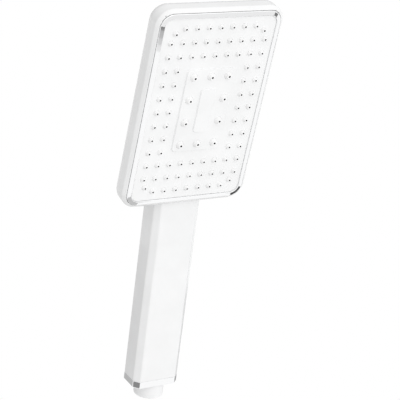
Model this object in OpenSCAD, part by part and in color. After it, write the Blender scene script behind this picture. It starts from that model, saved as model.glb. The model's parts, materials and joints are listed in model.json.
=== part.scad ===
// Handheld shower head: a rectangular spray head on a chamfered handle.
// +Z runs up the handle from the middle of the inlet's end, and the spray face looks towards -Y.
// Head parts are drawn face up, with z = 0 on the trim ring's front, and in_head() sets them in place.
// A depth is a distance behind the trim ring's front.

/* [Head] */
// Width across the head's side walls
head_w = 93.4; // [88:0.2:116]
// Height along the face
head_h = 144.4; // [118:0.2:180]
// Corner radius of the head's outline
head_corner = 11.7; // [10.4:0.1:14.4]
// Depth of the flat of the back
head_depth = 18.5; // [17.5:0.1:24]
// Radius that rolls the side walls into the back
back_round = 9.5; // [8.5:0.5:12]
// Wall of the moulded shell
wall = 2.4; // [2:0.1:2.9]
// Angle between the handle and the back of the face
tilt = 8.6; // [4:0.1:12]

/* [Face] */
// White border of the shell outside the trim ring
rim_w = 2.7; // [2.2:0.1:4]
// How far the border starts behind the trim ring's front
rim_setback = 1; // [0.4:0.1:1.4]
// Width of the trim ring's visible band
ring_band = 3.2; // [2.6:0.1:4]
// How far the trim ring stands proud of the face plate
ring_proud = 0.8; // [0.3:0.1:1.2]
// Thickness of the face plate
plate_t = 2.2; // [1.8:0.1:3]
// Width of the raised island in the face plate
island_w = 35.7; // [33:0.1:40]
// Height of the raised island
island_h = 60; // [58:0.5:64]
// Height of the island above the face plate
island_rise = 0.9; // [0.5:0.1:1.2]
// Width of the raised pad on the island
pad_w = 10.5; // [6:0.1:14]
// Height of the raised pad
pad_h = 32; // [24:0.5:40]
// Height of the pad above the island
pad_rise = 0.8; // [0.4:0.1:1.2]

/* [Rain nozzles] */
// Spacing of the small nozzles across the face
rain_pitch_x = 8.6; // [7.2:0.1:10.4]
// Spacing of the small nozzles along the face
rain_pitch_y = 9.9; // [8.2:0.1:12]
// Radius of a small nozzle where it leaves the face plate
rain_base_r = 1.9; // [1.6:0.05:2.3]
// Radius of a small nozzle's tip
rain_tip_r = 1.25; // [1:0.05:1.5]
// Height of a small nozzle above the face plate
rain_rise = 1.8; // [1:0.1:3]
// Water hole radius of a small nozzle
rain_hole_r = 0.6; // [0.3:0.05:0.8]
// Least distance from a small nozzle's middle to the trim ring
rain_margin = 4.5; // [4:0.1:7]
// How far a corner nozzle is drawn in across the face
corner_in_x = 2.2; // [0:0.1:3]
// How far a corner nozzle is drawn in along the face
corner_in_y = 3.4; // [0:0.1:4]

/* [Massage nozzles] */
// Spacing of the large nozzles across the island
jet_pitch_x = 12.6; // [11:0.1:13]
// Spacing of the large nozzles along the island
jet_pitch_y = 16.5; // [14:0.1:17]
// Radius of a large nozzle where it leaves the island
jet_base_r = 2.7; // [2.2:0.05:3]
// Radius of a large nozzle's tip
jet_tip_r = 1.7; // [1.4:0.05:2]
// Height of a large nozzle above the small nozzles' tips
jet_lead = 1.3; // [0.5:0.1:2]
// Water hole radius of a large nozzle
jet_hole_r = 0.7; // [0.5:0.05:1.2]

/* [Water chambers] */
// Thickness of the two nozzle mats
mat_t = 1.5; // [1.2:0.1:2]
// Thickness of the distributor plate
distributor_t = 1.8; // [1.5:0.1:2.4]
// Depth of the two water chambers, with their gasket
chamber_t = 2.7; // [2.4:0.1:4]
// Thickness of the gaskets between manifold and distributor
gasket_t = 0.8; // [0.6:0.1:1]
// Thickness of the manifold's back plate
manifold_t = 2; // [1.6:0.1:2.4]
// Thickness of the ribs that close the chambers
rib_t = 1.6; // [1.4:0.1:2]
// Spacing of the manifold screws along the face
screw_pitch = 45; // [34:1:54]

/* [Selector] */
// Travel of the push button
press = 3; // [2.5:0.1:3.6]
// Angle that one press turns the diverter
turn = 45; // [40:1:50]
// Width of the push button
button_w = 16; // [14:0.5:17]
// Height of the push button
button_h = 22; // [18:0.5:22.4]
// How far the pressed button still stands out of its bezel
button_proud = 0.4; // [0.3:0.1:2]
// Radius of the diverter disc
disc_r = 9; // [8.6:0.1:9.3]
// Thickness of the diverter disc
disc_t = 2.15; // [2:0.05:3]
// Thickness of the soft valve seat
seat_t = 1.2; // [1:0.1:2]
// Radius of the circle that the water ports lie on
port_circle_r = 6; // [5.7:0.1:6.4]
// Radius of a water port
port_r = 2.1; // [1.5:0.1:2.2]
// Radius of the button stem
stem_r = 3; // [2.5:0.1:3.2]
// Radius of the steel drive pin
pin_r = 0.9; // [0.7:0.1:1]

/* [Handle] */
// Width of the handle
handle_w = 35; // [33:0.5:42]
// Depth of the handle, front to back
handle_d = 22.6; // [22.4:0.2:27.2]
// Length of the handle from the collar to the head
handle_len = 137.5; // [110:0.5:170]
// Chamfer on the handle's two front edges
front_chamfer = 3.8; // [2:0.1:4.6]
// Chamfer on the handle's two rear edges
rear_chamfer = 5.1; // [3:0.1:6]
// How far the handle's front lies behind the trim ring where the two meet
neck_setback = 4.3; // [3.5:0.1:6]
// Radius of the water tube
tube_r = 4.6; // [4.2:0.1:4.7]
// Wall of the water tube
tube_wall = 1.2; // [0.8:0.1:1.4]

/* [Inlet] */
// Outer diameter of the G1/2 nipple
nipple_d = 20.955; // [20.955:0.001:20.955]
// Length of the nipple below the collar
nipple_len = 10.3; // [9:0.1:13]
// Height of the end collar
collar_h = 5.3; // [4.4:0.1:8]
// Radius of the nipple's bore
nipple_bore_r = 7.5; // [7:0.1:8]

/* [Hidden] */
$fn = 64;
small_fn = 32;
eps = 0.01;

// clearances
slip = 0.05;        // between a sliding or turning shaft and its hole
seat_gap = 0.05;    // between the diverter and what it turns against
fit_gap = 0.1;      // between pieces that are set into each other
nozzle_gap = 0.05;  // between a soft nozzle and its hole

// trim ring and face plate
rim_lip = 0.4;
ring_w = head_w - 2 * rim_w;
ring_h = head_h - 2 * rim_w;
ring_corner = head_corner - rim_w;
rim_chamfer = rim_w - fit_gap - rim_lip;
ring_t = 2.6;
ring_skirt = 1;
face_w = ring_w - 2 * ring_band;
face_h = ring_h - 2 * ring_band;
face_corner = ring_corner - ring_band;
plate_flange_w = ring_w - 2 * ring_skirt - 2 * fit_gap;
plate_flange_h = ring_h - 2 * ring_skirt - 2 * fit_gap;
plate_flange_corner = ring_corner - ring_skirt - fit_gap;

// depths of the face stack
plate_front = ring_proud;
mat_front = plate_front + plate_t;
distributor_front = mat_front + mat_t;
chamber_front = distributor_front + distributor_t;
manifold_front = chamber_front + chamber_t;
manifold_back = manifold_front + manifold_t;
jet_rise = rain_rise - ring_proud + jet_lead;
island_front = plate_front - island_rise;
pad_front = island_front - pad_rise;

// sizes of the mats and chambers
mat_inset = 4.3;
mat_w = ring_w - 2 * mat_inset;
mat_h = ring_h - 2 * mat_inset;
mat_corner = ring_corner - mat_inset;
mat_split = 2;
wet_inset = 5.4;
wet_w = ring_w - 2 * wet_inset;
wet_h = ring_h - 2 * wet_inset;
wet_corner = ring_corner - wet_inset;
distributor_inset = 4;
island_corner = 3;

// screws of the manifold
screw_r = 1.1;
screw_head_r = 1.9;
screw_head_t = 1.5;
screw_len = 5.6;
screw_x = ring_w / 2 - ring_skirt - screw_head_r - fit_gap;
boss_r = 2.6;

// selector, along its axis from the manifold to the button
valve_y = -island_h / 2 + 1;
cup_gap = 0.2;
cup_r = disc_r + cup_gap;
cup_wall = 1.8;
disc_front = manifold_back + seat_t + seat_gap;
disc_back = disc_front + disc_t;
sleeve_r = stem_r + 2.2;
pin_reach = sleeve_r - 0.2;
slot_r = pin_r + 0.15;
slot_wall = 0.85;
slot_steps = 12;
pin_depth = disc_back + slot_wall + slot_r + press + 0.2;
sleeve_back = pin_depth + slot_r + slot_wall;
cap_front = sleeve_back + seat_gap;
cap_plug_t = 1.6;
cap_flange_t = 0.6;
cap_back = cap_front + cap_plug_t + cap_flange_t;
o_ring_r = 0.75;
flange_t = 1;
flange_back = cap_back + 0.4 + press + flange_t;
hump_depth = flange_back + wall;
bezel_t = 0.6;
bezel_w = 1.4;
bezel_wall = 0.8;
button_gap = 0.15;
button_corner = 4;
button_flange = 1.1;
flange_gap = 0.3;
seat_rim = 0.4;
button_back = hump_depth + bezel_t + button_proud + press;
spring_r = 5.1;
spring_wire_r = 0.35;
spring_turns = 5;
spring_gap = 0.8;
button_top_t = 2.8;
spring_seat = button_back - button_top_t;
spring_sides = 8;
spring_per_turn = 24;
spring_rings = spring_turns * spring_per_turn;
stem_grip = 1;
bore_floor = 1;

// place of the head above the handle
handle_foot = nipple_len + collar_h;
head_y = -handle_d / 2 - head_h / 2 * sin(tilt) - neck_setback * cos(tilt);
head_z = handle_foot + handle_len + head_h / 2 * cos(tilt) - neck_setback * sin(tilt);

// neck: a flat for the button, then a slope down to the back
flat_end = valve_y + button_h / 2 + bezel_w + 1.6;
slope_angle = 25.5;
slope_end = flat_end + (hump_depth - head_depth) / tan(slope_angle);
far = 400;

// water tube and inlet
cup_foot = axis_height(valve_y - cup_r - cup_wall / 2);
tube_top = cup_foot - 4;
spigot_len = 16;
spigot_bore_r = 2.3;
spigot_r = tube_r - tube_wall - slip;
groove_depth = 0.6;
ring_gap = 0.02;
seal_r = (groove_depth + slip) / 2 - ring_gap;
spring_low = -spring_seat + spring_wire_r + ring_gap;
spring_high = -cap_back - spring_wire_r - ring_gap;
plug_t = 4;
plug_top = handle_foot + plug_t;
tube_foot = plug_top + 2.4;
seal_reach = 7;
upper_seal_height = tube_top - spigot_len + seal_reach;
lower_seal_height = tube_foot + seal_reach;
nipple_r = nipple_d / 2;
neck_bore_r = 5.5;
limiter_front = 2;
limiter_t = 6;
limiter_floor_t = 1.5;
limiter_post_r = 2.6;
screen_front = 1;
screen_t = 0.6;
fixing_r = 1.4;
fixing_head_r = 2.3;
fixing_head_t = 2;
fixing_len = 12;
fixing_x = handle_w / 2 - wall - 2.5;
boss_wall = 1.8;
neck_r = min(9.9, fixing_x - fixing_head_r - fit_gap);
collar_wall = 1.2;
collar_web = 1.5;

rain_columns = floor((face_w / 2 - rain_margin) / rain_pitch_x);
rain_rows = floor((face_h / 2 - rain_margin) / rain_pitch_y);
rain_clear = rain_base_r + 0.3;
function on_island(x, y) =
    abs(x) < island_w / 2 + rain_clear && abs(y) < island_h / 2 + rain_clear;
function is_corner(i, j) = abs(i) == rain_columns && abs(j) == rain_rows;
rain_places = [
    for (i = [-rain_columns:rain_columns], j = [-rain_rows:rain_rows])
        if (!on_island(i * rain_pitch_x, j * rain_pitch_y))
            is_corner(i, j)
                ? [i * rain_pitch_x - sign(i) * corner_in_x, j * rain_pitch_y - sign(j) * corner_in_y]
                : [i * rain_pitch_x, j * rain_pitch_y]];
jet_places = [
    for (i = [-1:1], j = [-1.5:1:1.5])
        if (i != 0 || abs(j) > 1) [i * jet_pitch_x, j * jet_pitch_y]];

// height on the handle's axis that is level with a place on the face
function axis_height(face_y) = head_z + (face_y - head_y * sin(tilt)) / cos(tilt);

module in_head() {
    translate([0, head_y, head_z]) rotate([90 + tilt, 0, 0]) children();
}

// rectangle with round corners
module rounded(w, h, r) {
    square([w - 2 * r, h], center = true);
    square([w, h - 2 * r], center = true);
    for (x = [-1, 1], y = [-1, 1])
        translate([x * (w / 2 - r), y * (h / 2 - r)]) circle(r);
}

// plate between two depths
module slab(w, h, r, front, back) {
    translate([0, 0, -back]) linear_extrude(back - front) rounded(w, h, r);
}

// frame between an outer and an inner outline
module frame(w, h, r, band, inner_r, front, back) {
    difference() {
        slab(w, h, r, front, back);
        slab(w - 2 * band, h - 2 * band, inner_r, front - eps, back + eps);
    }
}

// round bar along the selector's axis between two depths
module bar(r, front, back, $fn = $fn) {
    translate([0, 0, -back]) cylinder(r = r, h = back - front);
}

module at_valve() {
    translate([0, valve_y, 0]) children();
}

// front part of the head, with its front edge chamfered all round
module chamfered_rim(depth) {
    run = head_w - 2 * head_corner;
    rise = head_h - 2 * head_corner;
    for (x = [-1, 1], y = [-1, 1]) translate([x * run / 2, y * rise / 2, 0])
        rotate_extrude() intersection() {
            rim_profile(2 * head_corner, depth);
            translate([0, -far]) square([far, 2 * far]);
        }
    rotate([90, 0, 0]) linear_extrude(rise, center = true) rim_profile(head_w, depth);
    rotate([90, 0, 90]) linear_extrude(run, center = true) rim_profile(head_h, depth);
}

module rim_profile(w, depth) {
    side = w / 2;
    edge = side - rim_chamfer;
    foot = rim_setback + rim_chamfer;
    polygon([[-side, -depth], [side, -depth], [side, -foot],
        [edge, -rim_setback], [-edge, -rim_setback], [-side, -foot]]);
}

// rear part of the head, rounded into the back, drawn smaller by inset
module back_solid(inset, front) {
    w = head_w - 2 * inset;
    h = head_h - 2 * inset;
    d = 2 * (head_depth - inset);
    intersection() {
        slab(w, h, head_corner - inset, front, head_depth - inset);
        rotate([90, 0, 0]) linear_extrude(h + 2, center = true) rounded(w, d, back_round - inset);
        rotate([90, 0, 90]) linear_extrude(w + 2, center = true) rounded(h, d, back_round - inset);
    }
}

// chamfered section of the handle, drawn smaller by inset
module handle_section(inset) {
    x = handle_w / 2 - inset;
    y = handle_d / 2 - inset;
    shrink = inset * (2 - sqrt(2));
    f = front_chamfer - shrink;
    r = rear_chamfer - shrink;
    polygon([[f - x, -y], [x - f, -y], [x, f - y], [x, y - r],
        [x - r, y], [r - x, y], [-x, y - r], [-x, f - y]]);
}

// handle running up into the neck, cut to the button's flat and the slope above it
module handle_solid(inset, foot) {
    shift = inset * tan(slope_angle / 2);
    intersection() {
        translate([0, 0, foot]) linear_extrude(head_z + head_h / 2 - foot) handle_section(inset);
        in_head() rotate([90, 0, 90]) linear_extrude(handle_w + 2, center = true) polygon([
            [-far, far], [slope_end - shift, far], [slope_end - shift, inset - head_depth],
            [flat_end - shift, inset - hump_depth], [-far, inset - hump_depth]]);
    }
}

module screw_places() {
    for (x = [-1, 1], y = [-1:1]) translate([x * screw_x, y * screw_pitch, 0]) children();
}

module fixing_places() {
    for (x = [-1, 1]) translate([x * fixing_x, 0, 0]) children();
}

module ring_of(w, r) {
    rotate_extrude() translate([w, 0]) circle(r, $fn = small_fn);
}

module button_outline(grow) {
    rounded(button_w + 2 * grow, button_h + 2 * grow, button_corner + grow);
}

module button_slab(grow, front, back) {
    at_valve() translate([0, 0, -back]) linear_extrude(back - front) button_outline(grow);
}

// space in the front of the shell that the face is set into
module face_pocket(ahead) {
    slab(ring_w + 2 * fit_gap, ring_h + 2 * fit_gap, ring_corner + fit_gap, -ahead, manifold_back);
}

// screw boss and its web inside the handle
module fixing_boss(side) {
    translate([side * fixing_x, 0, plug_top]) cylinder(r = fixing_r + boss_wall, h = fixing_len);
    translate([side * handle_w / 2, 0, plug_top + fixing_len / 2])
        cube([2 * (handle_w / 2 - fixing_x), 2 * fixing_r, fixing_len], center = true);
}

// flat that the bezel rests on, filled out where the handle's back falls below it
module bezel_seat() {
    in_head() button_slab(bezel_w + seat_rim, flange_back, hump_depth);
}

// room for the button's flange over its travel
module flange_room() {
    room_front = flange_back - flange_t - press - flange_gap;
    in_head() button_slab(button_flange + flange_gap, room_front, flange_back);
}

module body_shell() {
    color("white") difference() {
        union() {
            in_head() {
                difference() {
                    union() {
                        chamfered_rim(head_depth - back_round);
                        back_solid(0, head_depth - back_round);
                    }
                    face_pocket(1);
                    back_solid(wall, manifold_back - eps);
                }
                intersection() {
                    back_solid(wall / 2, manifold_back);
                    screw_places() bar(boss_r, manifold_back, head_depth);
                }
            }
            difference() {
                union() {
                    handle_solid(0, handle_foot);
                    bezel_seat();
                }
                in_head() face_pocket(far);
                in_head() back_solid(wall, manifold_back - eps);
            }
        }
        difference() {
            handle_solid(wall, handle_foot - 1);
            for (side = [-1, 1]) fixing_boss(side);
        }
        in_head() screw_places() bar(screw_r, manifold_back - 1, manifold_back + screw_len - manifold_t);
        flange_room();
        in_head() button_slab(button_gap + bezel_wall, flange_back - 1, hump_depth + 1);
        fixing_places() translate([0, 0, plug_top - 1]) cylinder(r = fixing_r, h = fixing_len - 1);
    }
}

module trim_ring() {
    color("silver") in_head() {
        frame(ring_w, ring_h, ring_corner, ring_band, face_corner, 0, ring_t);
        frame(ring_w, ring_h, ring_corner, ring_skirt, ring_corner - ring_skirt, ring_t, manifold_front);
    }
}

module face_plate() {
    color("white") in_head() difference() {
        union() {
            slab(face_w - 2 * fit_gap, face_h - 2 * fit_gap, face_corner - fit_gap, plate_front, mat_front);
            frame(plate_flange_w, plate_flange_h, plate_flange_corner, (plate_flange_w - mat_w) / 2 - fit_gap,
                mat_corner + fit_gap, ring_t, distributor_front);
            slab(plate_flange_w, plate_flange_h, plate_flange_corner, ring_t, mat_front);
            slab(island_w, island_h, island_corner, island_front, mat_front);
            slab(pad_w, pad_h, pad_w / 4, pad_front, mat_front);
        }
        for (p = rain_places) translate(p) bar(rain_base_r + nozzle_gap, -1, mat_front + 1);
        for (p = jet_places) translate(p) bar(jet_base_r + nozzle_gap, -far, mat_front + 1);
    }
}

// soft nozzle: a straight root, then a cone to its tip
module nozzle(base_r, tip_r, shoulder, tip) {
    bar(base_r, shoulder, mat_front + eps, $fn = small_fn);
    translate([0, 0, -shoulder]) cylinder(r1 = base_r, r2 = tip_r, h = tip + shoulder, $fn = small_fn);
}

module nozzle_holes(places, r, tip) {
    for (p = places) translate(p) {
        bar(r, -tip - 1, distributor_front + 1, $fn = small_fn);
        bar(2 * r, plate_front, distributor_front + 1, $fn = small_fn);
    }
}

module rain_nozzle_mat() {
    color("whitesmoke") in_head() difference() {
        union() {
            slab(mat_w, mat_h, mat_corner, mat_front, distributor_front);
            for (p = rain_places) translate(p)
                nozzle(rain_base_r, rain_tip_r, plate_front, rain_rise - plate_front);
        }
        slab(island_w + 2 * mat_split, island_h + 2 * mat_split, island_corner,
            mat_front - 1, distributor_front + 1);
        nozzle_holes(rain_places, rain_hole_r, rain_rise);
    }
}

module massage_nozzle_mat() {
    color("whitesmoke") in_head() difference() {
        union() {
            slab(island_w, island_h, island_corner, mat_front, distributor_front);
            for (p = jet_places) translate(p) nozzle(jet_base_r, jet_tip_r, island_front, jet_rise);
        }
        nozzle_holes(jet_places, jet_hole_r, jet_rise);
    }
}

module distributor_plate() {
    color("lightgray") in_head() difference() {
        slab(ring_w - 2 * distributor_inset, ring_h - 2 * distributor_inset, ring_corner - distributor_inset,
            distributor_front, chamber_front);
        for (p = rain_places) translate(p)
            bar(2 * rain_hole_r, distributor_front - 1, chamber_front + 1, $fn = small_fn);
        for (p = jet_places) translate(p)
            bar(2 * jet_hole_r, distributor_front - 1, chamber_front + 1, $fn = small_fn);
    }
}

module chamber_gasket() {
    color("dimgray") in_head() frame(wet_w, wet_h, wet_corner, rib_t, wet_corner - rib_t,
        chamber_front, chamber_front + gasket_t);
}

module island_gasket() {
    color("dimgray") in_head() frame(island_w, island_h, island_corner, rib_t, island_corner - rib_t,
        chamber_front, chamber_front + gasket_t);
}

// tube along the handle's axis
module pipe(r, foot, top) {
    translate([0, 0, foot]) cylinder(r = r, h = top - foot);
}

// groove for a seal on a spigot
module seal_groove(height) {
    translate([0, 0, height]) difference() {
        cylinder(r = spigot_r + 1, h = 2 * seal_r + 2 * fit_gap, center = true);
        cylinder(r = spigot_r - groove_depth, h = 4 * seal_r, center = true);
    }
}

module manifold() {
    color("gainsboro") difference() {
        union() {
            in_head() {
                slab(ring_w, ring_h, ring_corner, manifold_front, manifold_back);
                frame(wet_w, wet_h, wet_corner, rib_t, wet_corner - rib_t, chamber_front + gasket_t,
                    manifold_front + eps);
                frame(island_w, island_h, island_corner, rib_t, island_corner - rib_t,
                    chamber_front + gasket_t, manifold_front + eps);
                at_valve() bar(cup_r + cup_wall, manifold_back - eps, cap_front + cap_plug_t);
            }
            difference() {
                pipe(spigot_r, tube_top - spigot_len, cup_foot + 2);
                seal_groove(upper_seal_height);
            }
        }
        in_head() {
            at_valve() bar(cup_r, manifold_back, cap_front + cap_plug_t + 1);
            at_valve() bar(cup_r + cup_wall + 1.5, cap_front + cap_plug_t, hump_depth);
            at_valve() for (y = [-1, 1]) translate([0, y * port_circle_r, 0])
                bar(port_r, manifold_front - 1, manifold_back + 1);
            screw_places() bar(screw_r, manifold_front - 1, manifold_back + 1);
        }
        pipe(spigot_bore_r, tube_top - spigot_len - 1, cup_foot + 3);
    }
}

module manifold_screws() {
    color("silver") in_head() screw_places() {
        bar(screw_r, manifold_front - eps, manifold_front + screw_len);
        difference() {
            bar(screw_head_r, manifold_front - screw_head_t, manifold_front);
            for (a = [0, 90]) rotate([0, 0, a]) translate([0, 0, -manifold_front + screw_head_t])
                cube([2.2, 0.5, 1.6], center = true);
        }
    }
}

module valve_seat() {
    color("dimgray") in_head() at_valve() difference() {
        bar(cup_r, manifold_back, manifold_back + seat_t);
        for (y = [-1, 1]) translate([0, y * port_circle_r, 0])
            bar(port_r, manifold_back - 1, manifold_back + seat_t + 1);
    }
}

// slot that turns the diverter as the drive pin runs down it
module drive_slot() {
    for (i = [0:slot_steps]) translate([0, 0, -pin_depth + press * i / slot_steps])
        rotate([0, 0, -turn * i / slot_steps]) rotate([0, 90, 0])
            cylinder(r = slot_r, h = 2 * sleeve_r + 2, center = true, $fn = small_fn);
}

module diverter_rotor() {
    color("ivory") in_head() at_valve() difference() {
        union() {
            bar(disc_r, disc_front, disc_back);
            bar(sleeve_r, disc_back - eps, sleeve_back);
        }
        bar(stem_r + slip, disc_front + bore_floor, sleeve_back + 1);
        for (a = [-90, 90 - turn]) rotate([0, 0, a]) translate([port_circle_r, 0, 0])
            bar(port_r, disc_front - 1, disc_back + 1);
        drive_slot();
    }
}

module valve_cap() {
    color("gainsboro") in_head() at_valve() difference() {
        union() {
            bar(cup_r, cap_front, cap_back);
            bar(cup_r + cup_wall, cap_front + cap_plug_t, cap_back);
        }
        bar(stem_r + slip, cap_front - 1, cap_back + 1);
        bar(stem_r + 2 * o_ring_r + fit_gap, cap_front - 1, cap_front + 2 * o_ring_r + 2 * ring_gap);
    }
}

module stem_o_ring() {
    color("dimgray") in_head() at_valve() translate([0, 0, -cap_front - o_ring_r - ring_gap])
        ring_of(stem_r + slip + ring_gap + o_ring_r, o_ring_r);
}

module button_stem() {
    color("gainsboro") in_head() at_valve() difference() {
        bar(stem_r, pin_depth - pin_r - 0.9, spring_seat + stem_grip);
        translate([0, 0, -pin_depth]) rotate([0, 90, 0]) cylinder(r = pin_r, h = 3 * stem_r, center = true);
    }
}

module drive_pin() {
    color("silver") in_head() at_valve() translate([0, 0, -pin_depth]) rotate([0, 90, 0])
        cylinder(r = pin_r, h = 2 * pin_reach, center = true);
}

// point on the wound wire, which runs from the button to the valve cap
function spring_point(i, j) =
    let (a = 360 * i / spring_per_turn, b = 360 * j / spring_sides,
        r = spring_r + spring_wire_r * cos(b),
        z = spring_low + (spring_high - spring_low) * i / spring_rings + spring_wire_r * sin(b))
    [r * cos(a), r * sin(a), z];

module button_spring() {
    n = spring_sides;
    points = [for (i = [0:spring_rings], j = [0:n - 1]) spring_point(i, j)];
    walls = [for (i = [0:spring_rings - 1], j = [0:n - 1], s = [0, 1])
        let (a = i * n + j, b = i * n + (j + 1) % n)
        s == 0 ? [a, a + n, b] : [b, a + n, b + n]];
    first = [for (j = [0:n - 1]) j];
    last = [for (j = [n - 1:-1:0]) spring_rings * n + j];
    color("silver") in_head() at_valve() polyhedron(points, concat(walls, [first, last]));
}

module push_button() {
    color("white") in_head() difference() {
        union() {
            button_slab(0, flange_back - flange_t, button_back);
            button_slab(button_flange, flange_back - flange_t, flange_back);
        }
        at_valve() difference() {
            bar(spring_r + spring_gap, flange_back - flange_t - 1, spring_seat);
            bar(stem_r + 1, flange_back - flange_t - 2, spring_seat + 1);
        }
        at_valve() bar(stem_r, flange_back - flange_t - 1, spring_seat + stem_grip);
    }
}

module button_bezel() {
    color("silver") in_head() difference() {
        union() {
            button_slab(button_gap + bezel_wall, flange_back, hump_depth + bezel_t);
            button_slab(bezel_w, hump_depth, hump_depth + bezel_t);
        }
        button_slab(button_gap, flange_back - 1, hump_depth + bezel_t + 1);
    }
}

module water_tube() {
    color("aliceblue") difference() {
        pipe(tube_r, tube_foot, tube_top);
        pipe(tube_r - tube_wall, tube_foot - 1, tube_top + 1);
    }
}

module tube_seal(height) {
    translate([0, 0, height]) ring_of(spigot_r + slip - ring_gap - seal_r, seal_r);
}

module upper_tube_seal() {
    color("dimgray") tube_seal(upper_seal_height);
}

module lower_tube_seal() {
    color("dimgray") tube_seal(lower_seal_height);
}

module inlet_connector() {
    color("whitesmoke") difference() {
        union() {
            pipe(nipple_r, 0, nipple_len);
            pipe(neck_r, nipple_len - eps, handle_foot);
            translate([0, 0, handle_foot]) linear_extrude(plug_t) handle_section(wall + fit_gap);
            difference() {
                pipe(spigot_r, plug_top - eps, tube_foot + spigot_len);
                seal_groove(lower_seal_height);
            }
        }
        pipe(nipple_bore_r, -1, limiter_front + limiter_t);
        pipe(neck_bore_r, 1, handle_foot - 2);
        pipe(spigot_bore_r, 1, tube_foot + spigot_len + 1);
        fixing_places() pipe(fixing_r + fit_gap, handle_foot - 1, plug_top + 1);
    }
}

module connector_screws() {
    color("silver") fixing_places() {
        pipe(fixing_r, handle_foot - eps, plug_top + fixing_len - 3);
        difference() {
            pipe(fixing_head_r, handle_foot - fixing_head_t, handle_foot);
            for (a = [0, 90]) translate([0, 0, handle_foot - fixing_head_t]) rotate([0, 0, a])
                cube([2.8, 0.6, 2], center = true);
        }
    }
}

module end_collar() {
    color("silver") translate([0, 0, nipple_len]) difference() {
        linear_extrude(collar_h) handle_section(0);
        translate([0, 0, collar_web]) linear_extrude(collar_h) handle_section(collar_wall);
        translate([0, 0, -1]) cylinder(r = nipple_r + fit_gap, h = collar_h);
    }
}

// moulded insert: a sleeve, a drilled floor and a post that holds the rubber ring
module flow_limiter() {
    sleeve = 1.1;
    hole_circle_r = 4.4;
    color("seagreen") difference() {
        pipe(nipple_bore_r, limiter_front, limiter_front + limiter_t);
        difference() {
            pipe(nipple_bore_r - sleeve, limiter_front - 1, limiter_front + limiter_t - limiter_floor_t);
            pipe(limiter_post_r, limiter_front + 1, limiter_front + limiter_t);
        }
        for (a = [0:30:330]) rotate([0, 0, a]) translate([hole_circle_r, 0, 0])
            pipe(0.6, limiter_front - 1, limiter_front + limiter_t + 1);
    }
}

module limiter_o_ring() {
    ring_r = 1.2;
    color("dimgray") translate([0, 0, limiter_front + limiter_t - limiter_floor_t - ring_gap - ring_r])
        ring_of(limiter_post_r + ring_gap + ring_r, ring_r);
}

// drilled disc in the inlet's mouth
module inlet_screen() {
    hole_r = 0.55;
    hole_pitch = 1.9;
    color("silver") difference() {
        pipe(nipple_bore_r, screen_front, screen_front + screen_t);
        for (i = [-3:3], j = [-3:3]) {
            x = (i + j / 2) * hole_pitch;
            y = j * hole_pitch * sqrt(3) / 2;
            if (norm([x, y]) < nipple_bore_r - 1) translate([x, y, 0])
                pipe(hole_r, 0, screen_front + screen_t + 1);
        }
    }
}

body_shell();
trim_ring();
face_plate();
rain_nozzle_mat();
massage_nozzle_mat();
distributor_plate();
chamber_gasket();
island_gasket();
manifold();
manifold_screws();
valve_seat();
diverter_rotor();
valve_cap();
stem_o_ring();
button_stem();
drive_pin();
button_spring();
push_button();
button_bezel();
water_tube();
upper_tube_seal();
lower_tube_seal();
inlet_connector();
connector_screws();
end_collar();
flow_limiter();
limiter_o_ring();
inlet_screen();
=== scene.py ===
import json
import math

import bmesh
import bpy
import numpy as np
from mathutils import Matrix, Vector


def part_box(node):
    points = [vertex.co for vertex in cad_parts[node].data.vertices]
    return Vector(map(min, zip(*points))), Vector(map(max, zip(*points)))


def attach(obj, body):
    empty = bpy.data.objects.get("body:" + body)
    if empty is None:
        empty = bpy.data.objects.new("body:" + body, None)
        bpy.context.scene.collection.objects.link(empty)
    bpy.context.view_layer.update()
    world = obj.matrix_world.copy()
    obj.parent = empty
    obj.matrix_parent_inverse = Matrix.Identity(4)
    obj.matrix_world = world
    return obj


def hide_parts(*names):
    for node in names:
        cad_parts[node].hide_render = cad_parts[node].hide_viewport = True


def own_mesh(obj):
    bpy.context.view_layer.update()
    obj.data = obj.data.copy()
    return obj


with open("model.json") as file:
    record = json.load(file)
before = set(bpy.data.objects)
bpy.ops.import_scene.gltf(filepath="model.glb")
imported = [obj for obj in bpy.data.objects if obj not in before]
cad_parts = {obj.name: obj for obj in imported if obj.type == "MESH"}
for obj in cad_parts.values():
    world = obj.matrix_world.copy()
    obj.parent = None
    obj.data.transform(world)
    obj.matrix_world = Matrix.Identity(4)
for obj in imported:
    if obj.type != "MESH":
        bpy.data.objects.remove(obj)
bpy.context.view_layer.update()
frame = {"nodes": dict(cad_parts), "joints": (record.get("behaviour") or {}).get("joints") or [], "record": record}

# Sizes are in millimetres in the row frame: +Z up the handle, spray face towards -Y.
# Head sizes are in the head's own frame: x across, up along the face, and front, which is 0 on the
# trim ring's front and falls towards the back. A depth is the opposite of front.
MM = 0.001

# ---------------------------------------------------------------- sizes of the part
FIT_GAP = 0.1
CUT_PAST, CUT_AHEAD = 1.0, 3.0      # how far a cut runs past what it cuts, behind and in front

# Head shell
RIM_W = 2.7             # border outside the trim ring
RIM_CHAMFER = 2.2
RIM_SETBACK = 1.0       # start of the border behind the ring's front
RIM_EDGE = 0.35         # rounding of the border's edges
HEAD_CORNER = 11.7
BACK_DEPTH = 18.5       # flat of the back
BACK_ROUND = 9.5
WALL = 2.4

# Trim ring
RING_BAND = 3.2
BAND_DROP = 0.8         # how far the ring's band falls towards its outer edge
BAND_CURVE = 1.05       # how much of that fall comes near the outer edge
RING_OUTER_R, RING_INNER_R = 0.3, 0.4
RING_SKIRT = 1.0
RING_T = 2.6

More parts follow.
